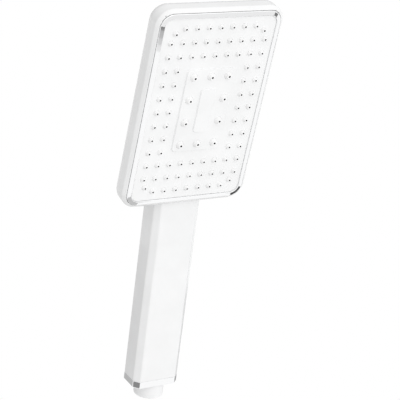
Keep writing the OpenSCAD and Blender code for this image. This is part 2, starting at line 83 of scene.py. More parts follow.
# Face plate and the mats behind it
PLATE_GAP = 0.07        # between the ring's inner edge and the face plate
PLATE_DEPTH = 0.8       # front of the face plate behind the ring's front
PLATE_EDGE = 0.15
MAT_DEPTH = 3.0
DISTRIBUTOR_DEPTH = 4.5
MANIFOLD_BACK = 11.0
ISLAND_W, ISLAND_H, ISLAND_CORNER, ISLAND_RISE = 35.7, 60.0, 3.0, 0.9
ISLAND_FRONT = ISLAND_RISE - PLATE_DEPTH
PAD_W, PAD_H, PAD_CORNER, PAD_RISE = 10.5, 32.0, 2.6, 0.8
STEP_SPREAD, STEP_LOOPS = 0.55, 7   # width of the soft steps round the island and the pad
MAT_INSET = 4.3
MAT_SPLIT = 2.0

# Nozzles
RAIN_PITCH_X, RAIN_PITCH_Y = 8.6, 9.9
RAIN_COLUMNS, RAIN_ROWS = 4, 6
RAIN_BASE_R, RAIN_TIP_R, RAIN_HOLE_R, RAIN_TIP = 1.9, 1.25, 0.6, 1.0
RAIN_CLEAR = 0.3        # least room between a rain nozzle and the island
CORNER_IN_X, CORNER_IN_Y = 2.2, 3.4
JET_PITCH_X, JET_PITCH_Y = 12.6, 16.5
JET_BASE_R, JET_TIP_R, JET_HOLE_R, JET_TIP = 2.7, 1.7, 0.7, 2.3
NOZZLE_GAP = 0.05
NOZZLE_ROOT = 0.4       # how far a nozzle is sunk into its mat
SHOULDER_IN, SHOULDER_UP = 0.06, 0.12
WAIST = 0.1             # how far a nozzle's side is drawn in
LIP_R = 0.32
MOUTH_OUT, MOUTH_DROP = 0.12, 0.15          # chamfer of the water hole's mouth
THROAT_TOP, THROAT_END = 0.2, 0.9           # where the hole widens behind the shoulder
BORE_SHORT = 0.2        # mat left over the wide bore, inside the nozzle's root
BORE_DROP = 0.1         # start of the painted shade in the bore, behind the tip

# Handle, hump and selector button
FRONT_CHAMFER, REAR_CHAMFER = 3.8, 5.1
HUMP_DEPTH = 30.45      # flat behind the neck that the button sits in
FLAT_END = -15.0
SLOPE = math.radians(25.5)
VALVE_UP = -29.0        # middle of the button along the face
BUTTON_W, BUTTON_H, BUTTON_CORNER, BUTTON_EDGE = 16.0, 22.0, 4.0, 1.3
BUTTON_DEPTH = 34.45
BUTTON_GAP, BEZEL_WALL, BEZEL_W, BEZEL_T, BEZEL_EDGE = 0.15, 0.8, 1.4, 0.6, 0.35
FLANGE_DEPTH, FLANGE_T, FLANGE_W = 28.05, 1.0, 1.1
STEM_R, SOCKET_WALL, SOCKET_DEPTH = 3.0, 1.0, 1.0
SPRING_ROOM_R, SPRING_SEAT = 5.9, 31.65
SPRING_R, WIRE_R, SPRING_TURNS = 5.1, 0.35, 5
# Thumb dish: how far in from the button's edge, and how deep
DISH = ((2.2, 0.0), (3.0, 0.12), (4.0, 0.38), (5.2, 0.62), (6.4, 0.75), (7.2, 0.8))
DISH_CORNER = 0.7

# Lower end
NIPPLE_D = 20.955       # G1/2
NIPPLE_LEN, COLLAR_H = 10.3, 5.3
FOOT = NIPPLE_LEN + COLLAR_H
COLLAR_WALL, COLLAR_WEB, COLLAR_EDGE, COLLAR_LIP = 1.2, 1.5, 0.7, 0.25
MOUTH_BEVEL = 0.3
NECK_R = 9.9            # inlet's neck inside the collar
NIPPLE_BORE_R, NIPPLE_BORE, NIPPLE_EDGE = 7.5, 8, 0.6
INNER_R, INNER_FLOOR = 5.5, FOOT - 2
PLUG_TOP = FOOT + 4
SPIGOT_FOOT = PLUG_TOP + 2.4
SPIGOT_TOP, SPIGOT_R, SPIGOT_BORE_R, SPIGOT_EDGE = SPIGOT_FOOT + 16, 3.35, 2.3, 0.4
GROOVE, GROOVE_HALF, GROOVE_DEPTH = SPIGOT_FOOT + 7, 0.75, 0.6

# ---------------------------------------------------------------- the head's own frame
ACROSS = np.array([1.0, 0.0, 0.0])
front_axis = np.array(next(j["axis"] for j in frame["joints"] if j["name"] == "button_press"), float)
front_axis /= np.linalg.norm(front_axis)
up_axis = np.array([0.0, front_axis[2], -front_axis[1]])
tilt = math.atan2(-front_axis[2], -front_axis[1])


def in_mm(point):
    return np.array(point, float) / MM


def node_points(node):
    """A CAD node's corners in millimetres."""
    return np.array([v.co for v in frame["nodes"][node].data.vertices], float) / MM


def head_origin():
    """Middle of the trim ring's front face."""
    ring = node_points("trim_ring")
    up, front = ring @ up_axis, ring @ front_axis
    return (up.min() + up.max()) / 2 * up_axis + front.max() * front_axis


origin = head_origin()


def to_head(points):
    """x, up and front of points in the row frame."""
    rel = points - origin
    return points[..., 0], rel @ up_axis, rel @ front_axis


def in_head(points):
    """Points given as x, up, front, set in the row frame."""
    points = np.asarray(points, float)
    return (origin + points[..., :1] * ACROSS
            + points[..., 1:2] * up_axis + points[..., 2:3] * front_axis)


def head_span(node):
    """Width, height and front-to-back limits of a CAD node in the head's frame."""
    x, up, front = to_head(node_points(node))
    return np.ptp(x), np.ptp(up), front.min(), front.max()


ring_w, ring_h, ring_back, _ = head_span("trim_ring")
head_w, head_h = ring_w + 2 * RIM_W, ring_h + 2 * RIM_W
ring_corner = HEAD_CORNER - RIM_W
handle_low, handle_high = (np.array(c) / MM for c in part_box("end_collar"))
handle_w, handle_d = (handle_high - handle_low)[:2]
nipple_r = NIPPLE_D / 2


# ---------------------------------------------------------------- mesh tools
SHARP_DEG = 32.0        # an edge that turns further than this stays crisp
FLAT_WEIGHT = 60        # how strongly large faces hold their neighbours' normals


def new_object(name, verts, faces):
    mesh = bpy.data.meshes.new(name)
    mesh.from_pydata((np.asarray(verts) * MM).tolist(), [], faces)
    mesh.validate()
    obj = bpy.data.objects.new(name, mesh)
    bpy.context.scene.collection.objects.link(obj)
    return obj


def loft(name, loops, closed=False):
    """A solid through rings of points: a closed tube of rings, or one capped at both ends."""
    count = len(loops[0])
    verts = np.concatenate(loops)
    faces = []
    pairs = list(range(len(loops) - 1)) + ([len(loops) - 1] if closed else [])
    for i in pairs:
        a, b = i * count, (i + 1) % len(loops) * count
        for k in range(count):
            m = (k + 1) % count
            faces.append((a + k, a + m, b + m, b + k))
    if not closed:
        faces.append(tuple(range(count))[::-1])
        faces.append(tuple((len(loops) - 1) * count + k for k in range(count)))
    obj = new_object(name, verts, faces)
    tidy_normals(obj)
    return obj


def tidy_normals(obj):
    mesh = obj.data
    work = bmesh.new()
    work.from_mesh(mesh)
    bmesh.ops.recalc_face_normals(work, faces=work.faces)
    work.to_mesh(mesh)
    work.free()


def boolean(obj, tool, operation):
    """obj joined with, or cut by, the tool, which is then removed."""
    modifier = obj.modifiers.new(operation.lower(), "BOOLEAN")
    modifier.operation = operation
    modifier.solver = "MANIFOLD"
    modifier.object = tool
    bpy.context.view_layer.update()
    evaluated = obj.evaluated_get(bpy.context.evaluated_depsgraph_get())
    made = bpy.data.meshes.new_from_object(evaluated)
    made.materials.clear()
    obj.modifiers.clear()
    old = obj.data
    obj.data = made
    bpy.data.meshes.remove(old)
    bpy.data.objects.remove(tool)
    return obj


def join_meshes(name, parts):
    """One mesh from separate lists of points and faces."""
    verts, faces, start = [], [], 0
    for points, own_faces in parts:
        verts.append(points)
        faces += [tuple(start + i for i in f) for f in own_faces]
        start += len(points)
    obj = new_object(name, np.concatenate(verts), faces)
    tidy_normals(obj)
    return obj


def shade(obj):
    """Smooth faces, edges sharper than the limit left crisp, and flats kept flat."""
    mesh = obj.data
    mesh.polygons.foreach_set("use_smooth", [True] * len(mesh.polygons))
    work = bmesh.new()
    work.from_mesh(mesh)
    limit = math.radians(SHARP_DEG)
    for edge in work.edges:
        edge.smooth = len(edge.link_faces) == 2 and edge.calc_face_angle(0.0) < limit
    work.to_mesh(mesh)
    work.free()
    weighted = obj.modifiers.new("flat_faces", "WEIGHTED_NORMAL")
    weighted.keep_sharp = True
    weighted.weight = FLAT_WEIGHT


# ---------------------------------------------------------------- outlines
ARC_STEPS = 10          # points round each corner of a rectangle, less one
LEAST_CORNER = 0.05
SECTION_STEPS = 11      # the same for the handle's section
SECTION_EDGE = 0.8      # radius of the section's softened edges


def rect_loop(w, h, r, front, up=0.0):
    """Rectangle with round corners in the head's frame, set in the row frame."""
    r = max(r, LEAST_CORNER)
    points = []
    for corner, (sx, sy) in enumerate([(1, 1), (-1, 1), (-1, -1), (1, -1)]):
        for k in range(ARC_STEPS + 1):
            a = math.radians(90 * corner + 90 * k / ARC_STEPS)
            points.append((sx * (w / 2 - r) + r * math.cos(a),
                           up + sy * (h / 2 - r) + r * math.sin(a), front))
    return in_head(points)


def ring_loop(r, front, up):
    """Circle with as many points as rect_loop, in the head's frame."""
    count = 4 * (ARC_STEPS + 1)
    angles = [2 * math.pi * (k + 0.5) / count for k in range(count)]
    return in_head([(r * math.cos(a), up + r * math.sin(a), front) for a in angles])


def ring_outline(inset):
    """Width, height and corner of the trim ring's outline, drawn smaller by inset."""
    return ring_w - 2 * inset, ring_h - 2 * inset, ring_corner - inset


def arc_profile(centre, r, first_deg, last_deg, steps):
    """Points of an arc in a profile's plane."""
    cx, cy = centre
    return [(cx + r * math.cos(math.radians(a)), cy + r * math.sin(math.radians(a)))
            for a in np.linspace(first_deg, last_deg, steps + 1)]


def section_loop(inset, z):
    """The handle's chamfered section with softened edges, drawn smaller by inset."""
    x, y = handle_w / 2 - inset, handle_d / 2 - inset
    shrink = inset * (2 - math.sqrt(2))
    f, r = FRONT_CHAMFER - shrink, REAR_CHAMFER - shrink
    corners = [(x, f - y), (x, y - r), (x - r, y), (r - x, y),
               (-x, y - r), (-x, f - y), (f - x, -y), (x - f, -y)]
    points = []
    for i, corner in enumerate(corners):
        before, after = Vector(corners[i - 1]), Vector(corners[(i + 1) % len(corners)])
        here = Vector(corner)
        to_before, to_after = (before - here).normalized(), (after - here).normalized()
        half = to_before.angle(to_after) / 2
        centre = here + (to_before + to_after).normalized() * (SECTION_EDGE / math.sin(half))
        start = here + to_before * (SECTION_EDGE / math.tan(half)) - centre
        sweep = math.pi - 2 * half
        for k in range(SECTION_STEPS + 1):
            turned_start = Matrix.Rotation(sweep * k / SECTION_STEPS, 2) @ start
            points.append((*(centre + turned_start), z))
    return np.array(points)


def circle_loop(r, z):
    """Circle round the handle's axis with as many points as section_loop."""
    count = 8 * (SECTION_STEPS + 1)
    start = math.atan2(-handle_d / 2 + FRONT_CHAMFER, handle_w / 2)
    angles = [start + 2 * math.pi * k / count for k in range(count)]
    return np.array([(r * math.cos(a), r * math.sin(a), z) for a in angles])


# ---------------------------------------------------------------- the moulded shell
FRONT_FILLET, BACK_FILLET = 0.9, 6.0        # between head and handle, in front and behind
FILLET_START, FILLET_END = 7, 17            # depths between which it grows
EDGE_ROUND = 0.5
HUMP_ROUND = 1.8
HUMP_BEND = 8.0         # where the hump's flat turns down into its slope
FOOT_ROUND = 0.35
POCKET_ROUND, INSIDE_ROUND = 0.15, 0.25
CORE_MEET = 0.01        # overlap of the hollow with the face's pocket
BEND_START, BEND_END = 95.0, 136.0          # along the handle, where the grid turns to the head's tilt

# Stretches of the grid, each a start, an end and a step, which is finer where the shell turns
GRID_ACROSS = ((0, 8, 2), (8, 9.8, 0.36), (9.8, 12, 0.8), (12, 18.4, 0.4), (18.4, 33.4, 2.5),
               (33.4, 43.4, 0.9), (43.4, 47.2, 0.32))
GRID_DEPTH = ((-2.3, 3, 0.33), (3, 8.2, 0.4), (8.2, 10.4, 1), (10.4, 11.6, 0.3),
              (11.6, 15.2, 1.2), (15.2, 21.6, 0.5), (21.6, 31.2, 0.42))
GRID_UP = ((-75, -57, 0.6), (-57, -43, 1.3), (-43, -39, 0.45), (-39, -19, 1.5), (-19, -15, 0.45),
           (-15, 16, 1.3), (16, 57, 3.2), (57, 73.2, 0.7))
GRID_HANDLE = ((15.1, 16.9, 0.25), (16.9, BEND_START, 5), (BEND_START, BEND_END, 2.2))
BEND_LIFT, BEND_STEP = 0.5, 1.5             # the head's first row above the bend, and its step
PULL_ROUNDS, PULL_LIMIT, LEAST_SLOPE = 5, 0.4, 0.2      # drawing the points onto the surface


def round_max(a, b, r):
    """Where both distances hold, with the outer edge rounded by r."""
    return np.minimum(np.maximum(a, b), -r) + np.hypot(np.maximum(a + r, 0), np.maximum(b + r, 0))


def round_min(a, b, r):
    """Where either distance holds, with the inner corner filleted by r."""
    return -round_max(-a, -b, r)


def rect_distance(x, y, w, h, r):
    """Distance outside a rectangle with round corners."""
    a, b = np.abs(x) - w / 2 + r, np.abs(y) - h / 2 + r
    return np.minimum(np.maximum(a, b), 0) + np.hypot(np.maximum(a, 0), np.maximum(b, 0)) - r


def smooth_step(x, low, high):
    t = np.clip((x - low) / (high - low), 0, 1)
    return t * t * (3 - 2 * t)


def head_distance(x, up, depth):
    """Distance outside the head, whose border is chamfered and whose back is rounded."""
    side = rect_distance(x, up, head_w, head_h, HEAD_CORNER)
    chamfer = (side - depth + RIM_CHAMFER + RIM_SETBACK) / math.sqrt(2)
    front = round_max(round_max(side, chamfer, RIM_EDGE), RIM_SETBACK - depth, RIM_EDGE)
    return round_max(front, depth - BACK_DEPTH, BACK_ROUND)


def handle_distance(points, up, depth):
    """Distance outside the handle, which runs up into the hump behind the neck."""
    ax, ay = np.abs(points[..., 0]), np.abs(points[..., 1])
    chamfer = np.where(points[..., 1] < 0, FRONT_CHAMFER, REAR_CHAMFER)
    cut = (ax + ay - (handle_w + handle_d) / 2 + chamfer) / math.sqrt(2)
    section = round_max(np.maximum(ax - handle_w / 2, ay - handle_d / 2), cut, EDGE_ROUND)
    slope = (depth - HUMP_DEPTH) * math.cos(SLOPE) + (up - FLAT_END) * math.sin(SLOPE)
    return round_max(section, round_max(depth - HUMP_DEPTH, slope, HUMP_BEND), HUMP_ROUND)


def shell_distance(points):
    """Distance outside the shell's walls: head and handle, less pocket, hollow and button hole."""
    x, up, front = to_head(points)
    depth = -front
    head = head_distance(x, up, depth)
    handle = handle_distance(points, up, depth)
    growth = smooth_step(depth, FILLET_START, FILLET_END)
    fillet = FRONT_FILLET + (BACK_FILLET - FRONT_FILLET) * growth
    foot = FOOT - points[..., 2]
    outer = round_min(head, round_max(handle, foot, FOOT_ROUND), fillet)
    pocket = np.maximum(rect_distance(x, up, *ring_outline(-FIT_GAP)), depth - MANIFOLD_BACK)
    core = np.minimum(np.maximum(head + WALL, MANIFOLD_BACK - depth - CORE_MEET), handle + WALL)
    grow = BUTTON_GAP + BEZEL_WALL
    hole = np.maximum(rect_distance(x, up - VALVE_UP, BUTTON_W + 2 * grow, BUTTON_H + 2 * grow,
                                    BUTTON_CORNER + grow), FLANGE_DEPTH - CUT_PAST - depth)
    shell = round_max(outer, -pocket, POCKET_ROUND)
    shell = round_max(shell, -core, INSIDE_ROUND)
    return round_max(shell, -hole, INSIDE_ROUND)


def steps_along(*stretches):
    """Sorted values from (start, end, step) stretches that follow each other."""
    values = []
    for start, end, step in stretches:
        values += list(np.linspace(start, end, max(1, round((end - start) / step)), endpoint=False))
    return np.array(values + [stretches[-1][1]])


def bent_grid(x, p, t):
    """Points at x, depth p and length t along a spine that bends from the handle to the head."""
    x, p, t = np.meshgrid(x, p, t, indexing="ij")
    radius = (BEND_END - BEND_START) / tilt
    angle = np.clip((t - BEND_START) / radius, 0, tilt)
    past = np.maximum(t - BEND_END, 0)
    spine_y = -radius * (1 - np.cos(angle)) - past * math.sin(tilt)
    spine_z = np.minimum(t, BEND_START) + radius * np.sin(angle) + past * math.cos(tilt)
    return np.stack([x, spine_y + p * np.cos(angle), spine_z + p * np.sin(angle)], axis=-1)


def surface(distance, points):
    """Quads over the zero surface of a distance, one point for each grid cell that it crosses."""
    values = distance(points)
    shape = np.array(values.shape)
    total = np.zeros((*(shape - 1), 3))
    count = np.zeros(shape - 1)
    crossings = []
    for axis in range(3):
        low = [slice(None)] * 3
        high = [slice(None)] * 3
        low[axis], high[axis] = slice(None, -1), slice(1, None)
        f0, f1 = values[tuple(low)], values[tuple(high)]
        crossed = (f0 < 0) != (f1 < 0)
        share = np.where(crossed, f0 / np.where(crossed, f0 - f1, 1), 0)[..., None]
        at = points[tuple(low)] * (1 - share) + points[tuple(high)] * share
        at[~crossed] = 0
        crossings.append((crossed, f0 < 0))
        others = [a for a in range(3) if a != axis]
        for i in (0, 1):
            for j in (0, 1):
                window = [slice(None)] * 3
                window[others[0]] = slice(i, shape[others[0]] - 1 + i)
                window[others[1]] = slice(j, shape[others[1]] - 1 + j)
                total += at[tuple(window)]
                count += crossed[tuple(window)]
    used = count > 0
    index = np.full(used.shape, -1)
    index[used] = np.arange(used.sum())
    verts = total[used] / count[used][:, None]
    quads = []
    for axis in range(3):
        b, c = (axis + 1) % 3, (axis + 2) % 3
        crossed, starts_inside = crossings[axis]
        where = np.argwhere(crossed)
        inner = ((where[:, b] > 0) & (where[:, b] < shape[b] - 1)
                 & (where[:, c] > 0) & (where[:, c] < shape[c] - 1))
        where = where[inner]
        outward = starts_inside[tuple(where.T)]
        ring = []
        for db, dc in ((1, 1), (0, 1), (0, 0), (1, 0)):
            cell = where.copy()
            cell[:, b] -= db
            cell[:, c] -= dc
            ring.append(index[tuple(cell.T)])
        quad = np.stack(ring, axis=1)
        quad[~outward] = quad[~outward][:, ::-1]
        quads.append(quad)
    return verts, np.concatenate(quads)


def slope_of(distance, points, h=0.02):
    """Gradient of a distance by central differences."""
    parts = []
    for axis in range(3):
        step = np.zeros(3)
        step[axis] = h
        parts.append((distance(points + step) - distance(points - step)) / (2 * h))
    return np.stack(parts, axis=-1)


def body_shell():
    """The moulded shell, drawn from its distance, with normals that follow it."""
    spine_end = bent_grid([0.0], [0.0], [BEND_END])[0, 0, 0]
    _, up_end, front_end = to_head(spine_end)
    half = steps_along(*GRID_ACROSS)
    x = np.concatenate([-half[:0:-1], half])
    depth = steps_along(*GRID_DEPTH)
    up = steps_along((up_end + BEND_LIFT, GRID_UP[0][0], BEND_STEP), *GRID_UP)
    t = np.concatenate([steps_along(*GRID_HANDLE), up - up_end + BEND_END])
    verts, quads = surface(shell_distance, bent_grid(x, depth + front_end, t))
    for _ in range(PULL_ROUNDS):
        slope = slope_of(shell_distance, verts)
        steepness = np.maximum((slope ** 2).sum(1), LEAST_SLOPE)[:, None]
        move = -shell_distance(verts)[:, None] * slope / steepness
        verts += np.clip(move, -PULL_LIMIT, PULL_LIMIT)
    obj = new_object("shell", verts, quads.tolist())
    slope = slope_of(shell_distance, verts)
    slope /= np.maximum(np.linalg.norm(slope, axis=1), 1e-9)[:, None]
    obj.data.polygons.foreach_set("use_smooth", [True] * len(obj.data.polygons))
    obj.data.normals_split_custom_set_from_vertices(slope.tolist())
    return obj


# ---------------------------------------------------------------- face
def trim_ring():
    """Chrome band on a skirt: crowned, and falling away towards its outer edge."""
    crown = np.linspace(RING_OUTER_R, RING_BAND - RING_INNER_R, 9)
    share = (crown - crown[0]) / (crown[-1] - crown[0])
    # the outer edge is two points of a round
    profile = [(0, ring_back), (0, -RING_T), (0.02, -BAND_DROP - RING_OUTER_R),
               (RING_OUTER_R * 0.35, -BAND_DROP - RING_OUTER_R * 0.4)]
    profile += list(zip(crown, -BAND_DROP * (1 - share) ** BAND_CURVE))
    profile += [(RING_BAND - RING_INNER_R + dx, -RING_INNER_R + dy)
                for dx, dy in arc_profile((0, 0), RING_INNER_R, 75, 0, 5)]
    profile += [(RING_BAND, -RING_T), (RING_SKIRT, -RING_T), (RING_SKIRT, ring_back)]
    return loft("ring", [rect_loop(*ring_outline(i), f) for i, f in profile], closed=True)


def soft_step(w, h, corner, low, high):
    """Loops of a raised outline whose wall rises in a soft curve."""
    loops = []
    for k in range(STEP_LOOPS):
        t = k / (STEP_LOOPS - 1)
        rise = t * t * (3 - 2 * t)
        inset = STEP_SPREAD * (t - 0.5)
        loops.append(rect_loop(w - 2 * inset, h - 2 * inset, corner - inset, low + (high - low) * rise))
    return loops


def rain_places():
    """Middles of the small nozzles: a grid that leaves the island out and draws its corners in."""
    clear = RAIN_BASE_R + RAIN_CLEAR
    places = []
    for i in range(-RAIN_COLUMNS, RAIN_COLUMNS + 1):
        for j in range(-RAIN_ROWS, RAIN_ROWS + 1):
            x, up = i * RAIN_PITCH_X, j * RAIN_PITCH_Y
            if abs(x) < ISLAND_W / 2 + clear and abs(up) < ISLAND_H / 2 + clear:
                continue
            if abs(i) == RAIN_COLUMNS and abs(j) == RAIN_ROWS:
                x -= math.copysign(CORNER_IN_X, x)
                up -= math.copysign(CORNER_IN_Y, up)
            places.append((x, up))
    return places


def jet_places():
    """Middles of the larger nozzles, which stand round the island's pad."""
    return [(i * JET_PITCH_X, j * JET_PITCH_Y) for i in (-1, 0, 1) for j in (-1.5, -0.5, 0.5, 1.5)
            if i != 0 or abs(j) > 1]


NOZZLE_SIDES = 28


def turned(profile, place):
    """Closed profile of (radius, front) turned about the head's front axis at a place on the face."""
    x, up = place
    angles = [2 * math.pi * k / NOZZLE_SIDES for k in range(NOZZLE_SIDES)]
    points = [(x + r * math.cos(a), up + r * math.sin(a), f) for r, f in profile for a in angles]
    faces = []
    for i in range(len(profile)):
        a, b = i * NOZZLE_SIDES, (i + 1) % len(profile) * NOZZLE_SIDES
        for k in range(NOZZLE_SIDES):
            m = (k + 1) % NOZZLE_SIDES
            faces.append((a + k, a + m, b + m, b + k))
    return in_head(points), faces


def turned_solid(profile, place):
    """The same, but the profile's ends are capped."""
    points, faces = turned(profile, place)
    last = (len(profile) - 1) * NOZZLE_SIDES
    faces = faces[:-NOZZLE_SIDES]
    faces += [tuple(range(NOZZLE_SIDES))[::-1], tuple(last + k for k in range(NOZZLE_SIDES))]
    return points, faces


def face_plate():
    """Plate with its flange, the raised island and pad, and a hole for every nozzle."""
    inset = RING_BAND + PLATE_GAP
    flange = ring_outline(RING_SKIRT + FIT_GAP)
    seat = ring_outline(MAT_INSET - FIT_GAP)
    loops = [rect_loop(*seat, -MAT_DEPTH), rect_loop(*seat, -DISTRIBUTOR_DEPTH),
             rect_loop(*flange, -DISTRIBUTOR_DEPTH), rect_loop(*flange, -RING_T),
             rect_loop(*ring_outline(inset), -RING_T)]
    for more, drop in arc_profile((PLATE_EDGE, -PLATE_EDGE), PLATE_EDGE, 180, 90, 4):
        loops.append(rect_loop(*ring_outline(inset + more), -PLATE_DEPTH + drop))
    loops += soft_step(ISLAND_W, ISLAND_H, ISLAND_CORNER, -PLATE_DEPTH, ISLAND_FRONT)
    loops += soft_step(PAD_W, PAD_H, PAD_CORNER, ISLAND_FRONT, ISLAND_FRONT + PAD_RISE)
    plate = loft("face", loops)
    holes = [turned_solid([(r, -MAT_DEPTH - CUT_PAST), (r, front + CUT_AHEAD)], place)
             for places, r, front in ((rain_places(), RAIN_BASE_R + NOZZLE_GAP, -PLATE_DEPTH),
                                      (jet_places(), JET_BASE_R + NOZZLE_GAP, ISLAND_FRONT))
             for place in places]
    boolean(plate, join_meshes("holes", holes), "DIFFERENCE")
    return plate


def nozzle_profile(base_r, tip_r, shoulder, tip, hole_r):
    """Outline of a soft nozzle, from its root up over the tip and down the bore."""
    root = -MAT_DEPTH - NOZZLE_ROOT
    profile = [(base_r, root), (base_r, shoulder), (base_r - SHOULDER_IN, shoulder + SHOULDER_UP)]
    profile += [(base_r + (tip_r - base_r) * t - WAIST * math.sin(math.pi * t),
                 shoulder + (tip - LIP_R - shoulder) * t) for t in (0.3, 0.6, 0.9)]
    profile += arc_profile((tip_r - LIP_R, tip - LIP_R), LIP_R, 20, 90, 4)
    profile += [(hole_r + MOUTH_OUT, tip), (hole_r, tip - MOUTH_DROP), (hole_r, shoulder - THROAT_TOP),
                (2 * hole_r, shoulder - THROAT_END), (2 * hole_r, root)]
    return profile


def nozzle_mat(name, outline, inner, places, base_r, tip_r, shoulder, tip, hole_r):
    """A mat whose nozzles stand on it and are bored through it."""
    mat = loft(name, [rect_loop(*outline, -DISTRIBUTOR_DEPTH), rect_loop(*outline, -MAT_DEPTH)])
    if inner:
        window = loft("window", [rect_loop(*inner, -DISTRIBUTOR_DEPTH - CUT_PAST),
                                 rect_loop(*inner, -MAT_DEPTH + CUT_PAST)])
        boolean(mat, window, "DIFFERENCE")
    bore = [(2 * hole_r, -DISTRIBUTOR_DEPTH - CUT_PAST), (2 * hole_r, -MAT_DEPTH - BORE_SHORT)]
    boolean(mat, join_meshes("bores", [turned_solid(bore, p) for p in places]), "DIFFERENCE")
    profile = nozzle_profile(base_r, tip_r, shoulder, tip, hole_r)
    boolean(mat, join_meshes("nozzles", [turned(profile, p) for p in places]), "UNION")
    mark_bores(mat, places, hole_r, tip)
    return mat


def mark_bores(mat, places, hole_r, tip):
    """Gives the walls of the water holes a near-black material: painted shade, standing in for the shadow deep
    inside the holes.
    """
    middles = np.array([in_mm(p.center) for p in mat.data.polygons])
    x, up, front = to_head(middles)
    away = np.min([np.hypot(x - px, up - py) for px, py in places], axis=0)
    # faces inside the water holes, which get the painted shade
    inside = (away < hole_r) & (front < tip - BORE_DROP)
    mat.data.materials.append(finishes["nozzle_silicone"])
    mat.data.materials.append(finishes["painted_bore_shade"])
    mat.data.polygons.foreach_set("material_index", inside.astype(np.int32))


def rain_nozzle_mat():
    """Mat round the island, with the small nozzles."""
    inner = (ISLAND_W + 2 * MAT_SPLIT, ISLAND_H + 2 * MAT_SPLIT, ISLAND_CORNER)
    return nozzle_mat("rain_nozzles", ring_outline(MAT_INSET), inner, rain_places(),
                      RAIN_BASE_R, RAIN_TIP_R, -PLATE_DEPTH, RAIN_TIP, RAIN_HOLE_R)


def massage_nozzle_mat():
    """Mat behind the island, with the larger nozzles."""
    return nozzle_mat("massage_nozzles", (ISLAND_W, ISLAND_H, ISLAND_CORNER), None, jet_places(),
                      JET_BASE_R, JET_TIP_R, ISLAND_FRONT, JET_TIP, JET_HOLE_R)


# ---------------------------------------------------------------- selector button
def button_loop(grow, depth, least_corner=0.0):
    """The button's outline drawn larger by grow, at a depth."""
    return rect_loop(BUTTON_W + 2 * grow, BUTTON_H + 2 * grow, max(BUTTON_CORNER + grow, least_corner),
                     -depth, VALVE_UP)


def push_button():
    """Key with a shallow thumb dish, a hollow for the spring and a socket for the stem."""
    low = FLANGE_DEPTH - FLANGE_T
    socket_r = STEM_R + SOCKET_WALL
    bores = [(STEM_R, SPRING_SEAT + SOCKET_DEPTH), (STEM_R, low), (socket_r, low),
             (socket_r, SPRING_SEAT), (SPRING_ROOM_R, SPRING_SEAT), (SPRING_ROOM_R, low)]
    loops = [ring_loop(r, -depth, VALVE_UP) for r, depth in bores]
    loops += [button_loop(FLANGE_W, low), button_loop(FLANGE_W, FLANGE_DEPTH), button_loop(0, FLANGE_DEPTH)]
    loops += [button_loop(-inset, BUTTON_DEPTH + rise)
              for inset, rise in arc_profile((BUTTON_EDGE, -BUTTON_EDGE), BUTTON_EDGE, 180, 96, 7)]
    loops += [button_loop(-inset, BUTTON_DEPTH - drop, DISH_CORNER) for inset, drop in DISH]
    return loft("button", loops)


def button_bezel():
    """Chrome frame set into the neck's flat round the button."""
    top, r = HUMP_DEPTH + BEZEL_T, BEZEL_EDGE
    wall = BUTTON_GAP + BEZEL_WALL
    loops = [button_loop(BUTTON_GAP, FLANGE_DEPTH), button_loop(wall, FLANGE_DEPTH),
             button_loop(wall, HUMP_DEPTH), button_loop(BEZEL_W, HUMP_DEPTH)]
    loops += [button_loop(BEZEL_W - r + dx, top - r + dy) for dx, dy in arc_profile((0, 0), r, 0, 90, 5)]
    loops += [button_loop(BUTTON_GAP + r + dx, top - r + dy)
              for dx, dy in arc_profile((0, 0), r, 90, 180, 5)]
    return loft("bezel", loops, closed=True)


def button_spring():
    """Wound wire between the valve cap and the button."""
    _, _, back, ahead = head_span("button_spring")
    per_turn, sides = 40, 12
    steps = SPRING_TURNS * per_turn
    loops = []
    for i in range(steps + 1):
        a = 2 * math.pi * i / per_turn
        along = back + WIRE_R + (ahead - back - 2 * WIRE_R) * i / steps
        wire = [(SPRING_R + WIRE_R * math.cos(b), along + WIRE_R * math.sin(b))
                for b in np.linspace(0, 2 * math.pi, sides, endpoint=False)]
        loops.append(in_head([(r * math.cos(a), VALVE_UP + r * math.sin(a), front) for r, front in wire]))
    spring = loft("spring", loops)
    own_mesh(spring)
    return spring


# ---------------------------------------------------------------- lower end
def end_collar():
    """Chrome collar: chamfered like the handle, with a web that the nipple passes through."""
    low, web, r, lip = NIPPLE_LEN, NIPPLE_LEN + COLLAR_WEB, COLLAR_EDGE, COLLAR_LIP
    hole_r = nipple_r + FIT_GAP
    loops = [circle_loop(hole_r, web), circle_loop(hole_r, low + MOUTH_BEVEL),
             circle_loop(hole_r + MOUTH_BEVEL, low)]
    loops += [section_loop(i, z) for i, z in arc_profile((r, low + r), r, 270, 180, 5)]
    loops += [section_loop(i, z) for i, z in arc_profile((lip, FOOT - lip), lip, 180, 90, 3)]
    loops += [section_loop(COLLAR_WALL, FOOT), section_loop(COLLAR_WALL, web)]
    return loft("collar", loops, closed=True)


